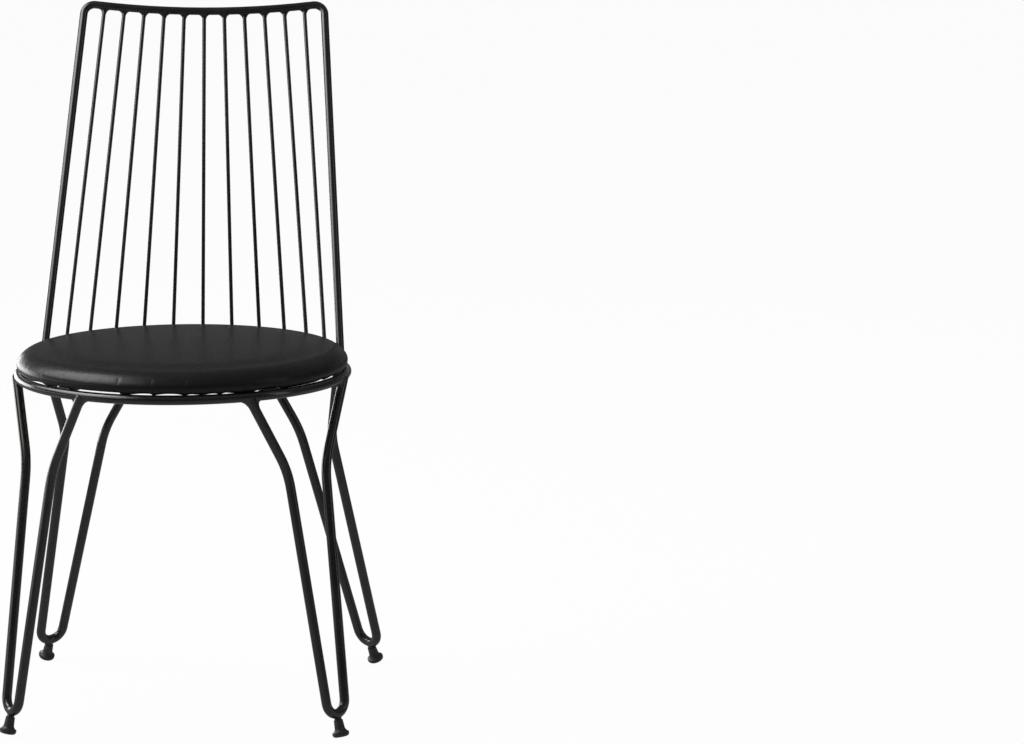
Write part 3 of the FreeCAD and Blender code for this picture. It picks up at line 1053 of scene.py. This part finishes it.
class CHAIR_OT_fastenings(bpy.types.Operator):
    """Seat board, its screws, and the staples that hold the cover under it"""
    bl_idname = "chair.fasten_seat"
    bl_label = "Fasten seat"

    def execute(self, context):
        dress(["seat_board"], plywood())
        dress(["seat_foam"], foam_block())
        dress(["seat_screws"], zinc_plate())
        draw = random.Random(11)
        bm = bmesh.new()
        count = context.scene.chair_fittings.staples
        for n in range(count):
            azimuth = 360.0 * (n + 0.5) / count + draw.uniform(-0.8, 0.8)
            a = math.radians(azimuth)
            out = Vector((math.sin(a), -math.cos(a), 0))
            lean = draw.uniform(-0.35, 0.35)
            along = (out.cross(UP) + out * lean).normalized()
            r = HEM_R + 4.0 * MM + draw.uniform(-0.6, 0.6) * MM
            middle = Vector((PAD_CENTRE.x, PAD_CENTRE.y, PAD_LOW.z)) + out * r
            line = [middle - along * x + UP * z for x, z in STAPLE_LEG]
            line += [middle + along * x + UP * z for x, z in STAPLE_LEG[::-1]]
            tube(bm, line, [STAPLE_WIRE] * len(line), [out] * len(line), 6)
        add_piece("seat_staples", bm, zinc_plate())
        return {"FINISHED"}


SKIN_INSET = 0.5 * MM


class CHAIR_OT_pad(bpy.types.Operator):
    """Round seat pad: leatherette pulled over foam and swollen against its board"""
    bl_idname = "chair.upholster_pad"
    bl_label = "Upholster pad"

    def execute(self, context):
        looks = context.scene.chair_pad
        bm, held = seat_shell(looks.tucks, SKIN_INSET)
        piece = add_piece("seat_pad", bm, leatherette())
        swell(piece, held, len(tuck_angles(looks.tucks)), looks.swell_cap, looks.pressure)
        shape_details(piece, looks.tucks, looks.tuck_depth, looks.hem_sag, looks.dome)
        smoother = piece.modifiers.new("smooth skin", "SUBSURF")
        smoother.levels = smoother.render_levels = 1
        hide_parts("seat_cover", "seat_foam")
        return {"FINISHED"}


# The studio, in metres: the floor, which darkens with distance in reflections, and the room
FLOOR_REACH = 60.0
FLOOR_FADE = (0.5, 1.9)
FLOOR_NEAR, FLOOR_FAR = 0.34, 0.15
FLOOR_GLOW = 0.96
WALL_LIGHT = 0.95
SCREEN_R, SCREEN_TOP, SCREEN_FACETS = 5.5, 3.4, 48
SCREEN_SHARE = 0.42

# Both ends of each card's foot, its bottom and top, the heights that its light changes between,
# and its light at these two, as shares of a brightness
EVEN = (0.0, 1.0)
CARDS = {
    "left_wall": ((-2.7, -2.1), (-2.7, 1.7), (0.0, 0.45), EVEN,
                  ("left_wall", 1.0), ("left_wall", 1.0)),
    "soft_box_rear": ((-1.1, 0.34), (-1.1, 2.6), (0.2, 0.7), EVEN,
                      ("soft_box", 0.7), ("soft_box", 0.7)),
    "soft_box_high": ((-1.1, -0.75), (-1.1, 0.48), (0.85, 2.8), (0.85, 1.7),
                      ("soft_box", 0.35), ("soft_box", 1.05)),
    "soft_box_front": ((-1.1, -1.6), (-1.1, -0.75), (0.95, 2.6), (0.95, 2.2),
                       ("soft_box", 0.22), ("soft_box", 0.55)),
    "back_card": ((-4.0, 3.7), (4.0, 3.7), (0.7, 1.5), (0.8, 1.45),
                  ("back_card", 1.0), ("room", 0.5)),
    "right_card": ((2.6, -1.0), (2.6, -0.5), (0.2, 2.4), EVEN,
                   ("right_card", 1.0), ("right_card", 1.0)),
}

# Place, aim and size of each lamp
LAMPS = {
    "side_light": ((-2.7, -0.1, 1.75), (0.0, -0.1, 1.75), (3.6, 1.8)),
    "top_light": ((0.0, 0.6, 3.6), (0.0, 0.2, 0.4), (4.0, 4.0)),
}


def floor_finish(looks):
    finish, tree, shader = new_finish("Studio floor")
    shader.inputs["Base Color"].default_value = shade(looks.floor)
    shader.inputs["Roughness"].default_value = 0.9
    shader.inputs["Specular IOR Level"].default_value = 0.0
    path = add_node(tree, "ShaderNodeLightPath")
    away = add_node(tree, "ShaderNodeVectorMath", operation="LENGTH")
    tree.links.new(object_place(tree), away.inputs[0])
    far = ramp_between(tree, away.outputs["Value"], *FLOOR_FADE)
    mirrored = mix_colour(tree, far, grey(FLOOR_NEAR), grey(FLOOR_FAR))
    glossy = path.outputs["Is Glossy Ray"]
    glow = add_node(tree, "ShaderNodeEmission", Strength=1.0)
    tree.links.new(mix_colour(tree, glossy, grey(1.0), mirrored), glow.inputs["Color"])
    seen = math_node(tree, "MAXIMUM", path.outputs["Is Camera Ray"], glossy)
    seen = math_node(tree, "MAXIMUM", seen, path.outputs["Is Transmission Ray"])
    blend = add_node(tree, "ShaderNodeMixShader")
    tree.links.new(math_node(tree, "MULTIPLY", seen, FLOOR_GLOW), blend.inputs[0])
    tree.links.new(shader.outputs[0], blend.inputs[1])
    tree.links.new(glow.outputs[0], blend.inputs[2])
    tree.links.new(blend.outputs[0], tree.nodes["Material Output"].inputs["Surface"])
    return finish


def studio_room(looks):
    world = bpy.data.worlds.new("Studio room")
    world.use_nodes = True
    tree = world.node_tree
    around = add_node(tree, "ShaderNodeTexCoord").outputs["Generated"]
    room = grey(looks.room)
    beside = ramp_between(tree, one_axis(tree, around, "Y"), -0.8, -0.25)
    walls = mix_colour(tree, beside, room, grey(WALL_LIGHT))
    height = ramp_between(tree, one_axis(tree, around, "Z"), 0.18, 0.55)
    colour = mix_colour(tree, height, walls, room)
    tree.links.new(colour, tree.nodes["Background"].inputs["Color"])
    return world


def soft_light(scene, name, place, aim, size, power):
    """A lamp that reflections don't show."""
    lamp = bpy.data.lights.new(name, "AREA")
    lamp.shape = "RECTANGLE"
    lamp.size, lamp.size_y = size
    lamp.energy = power
    light = bpy.data.objects.new(name, lamp)
    light.location = place
    light.rotation_euler = (Vector(aim) - Vector(place)).to_track_quat("-Z", "Y").to_euler()
    light.visible_glossy = False
    scene.collection.objects.link(light)


def reflector(scene, name, corners, heights, lights):
    """A card that only reflections show, with its light at two heights."""
    panel = bpy.data.meshes.new(name)
    panel.from_pydata(corners, [],
                      [(k, k + 1, k + 3, k + 2) for k in range(0, len(corners) - 2, 2)])
    card = bpy.data.objects.new(name, panel)
    scene.collection.objects.link(card)
    card.visible_camera = card.visible_shadow = False
    card.visible_diffuse = card.visible_transmission = False
    finish, tree, shader = new_finish(name)
    level = add_node(tree, "ShaderNodeMapRange", From_Min=heights[0], From_Max=heights[1],
                     To_Min=lights[0], To_Max=lights[1])
    tree.links.new(one_axis(tree, object_place(tree), "Z"), level.inputs["Value"])
    tree.links.new(level.outputs["Result"], shader.inputs["Emission Strength"])
    shader.inputs["Emission Color"].default_value = grey(1.0)
    shader.inputs["Base Color"].default_value = grey(0.0)
    shader.inputs["Specular IOR Level"].default_value = 0.0
    panel.materials.append(finish)


class CHAIR_OT_studio(bpy.types.Operator):
    """Pale floor, soft lights, cards for the reflections, a dim room and the camera"""
    bl_idname = "chair.set_stage"
    bl_label = "Set stage"

    def execute(self, context):
        scene = context.scene
        looks = scene.chair_studio
        mesh = bpy.data.meshes.new("studio_floor")
        mesh.from_pydata([(x * FLOOR_REACH, y * FLOOR_REACH, 0)
                          for x, y in ((-1, -1), (1, -1), (1, 1), (-1, 1))], [], [(0, 1, 2, 3)])
        floor = bpy.data.objects.new("studio_floor", mesh)
        scene.collection.objects.link(floor)
        mesh.materials.append(floor_finish(looks))
        scene.world = studio_room(looks)

        for name, (place, aim, size) in LAMPS.items():
            soft_light(scene, name, place, aim, size, getattr(looks, name))

        turns = [2 * math.pi * k / SCREEN_FACETS for k in range(SCREEN_FACETS + 1)]
        corners = [(SCREEN_R * math.sin(a), -SCREEN_R * math.cos(a), z)
                   for a in turns for z in (0.0, SCREEN_TOP)]
        reflector(scene, "room_screens", corners, EVEN, [looks.room * SCREEN_SHARE] * 2)
        for name, (start, end, rise, heights, *lights) in CARDS.items():
            corners = [(*foot, z) for foot in (start, end) for z in rise]
            reflector(scene, name, corners, heights,
                      [getattr(looks, key) * share for key, share in lights])

        lens = bpy.data.cameras.new("photo_camera")
        lens.lens = looks.lens
        lens.sensor_width = 36.0
        lens.clip_end = 200.0
        camera = bpy.data.objects.new("photo_camera", lens)
        camera.location = looks.camera_place
        camera.rotation_euler = looks.camera_turn
        scene.collection.objects.link(camera)
        scene.camera = camera
        scene.view_settings.view_transform = "Standard"
        return {"FINISHED"}


class CHAIR_PT_panel(bpy.types.Panel):
    """The chair's pieces and the studio"""
    bl_idname = "CHAIR_PT_panel"
    bl_label = "Spoked metal chair"
    bl_space_type = "VIEW_3D"
    bl_region_type = "UI"
    bl_category = "Chair"

    def draw(self, context):
        for label, kind in GROUPS.items():
            looks = getattr(context.scene, label)
            for key in kind.__annotations__:
                self.layout.prop(looks, key)
        for operator in OPERATORS:
            self.layout.operator(operator.bl_idname)


GROUPS = {"chair_metal": ChairMetal, "chair_fittings": ChairFittings,
          "chair_pad": ChairPad, "chair_studio": ChairStudio}
OPERATORS = (CHAIR_OT_studio, CHAIR_OT_paint, CHAIR_OT_welds, CHAIR_OT_glides,
             CHAIR_OT_fastenings, CHAIR_OT_pad)


def register():
    for kind in (*GROUPS.values(), *OPERATORS, CHAIR_PT_panel):
        bpy.utils.register_class(kind)
    for label, kind in GROUPS.items():
        setattr(bpy.types.Scene, label, PointerProperty(type=kind))


def unregister():
    for label in GROUPS:
        delattr(bpy.types.Scene, label)
    for kind in (CHAIR_PT_panel, *OPERATORS[::-1], *GROUPS.values()):
        bpy.utils.unregister_class(kind)


def main():
    register()
    bpy.ops.chair.set_stage()
    bpy.ops.chair.paint_frame()
    bpy.ops.chair.weld_frame()
    bpy.ops.chair.fit_glides()
    bpy.ops.chair.fasten_seat()
    bpy.ops.chair.upholster_pad()


if __name__ == "__main__":
    main()
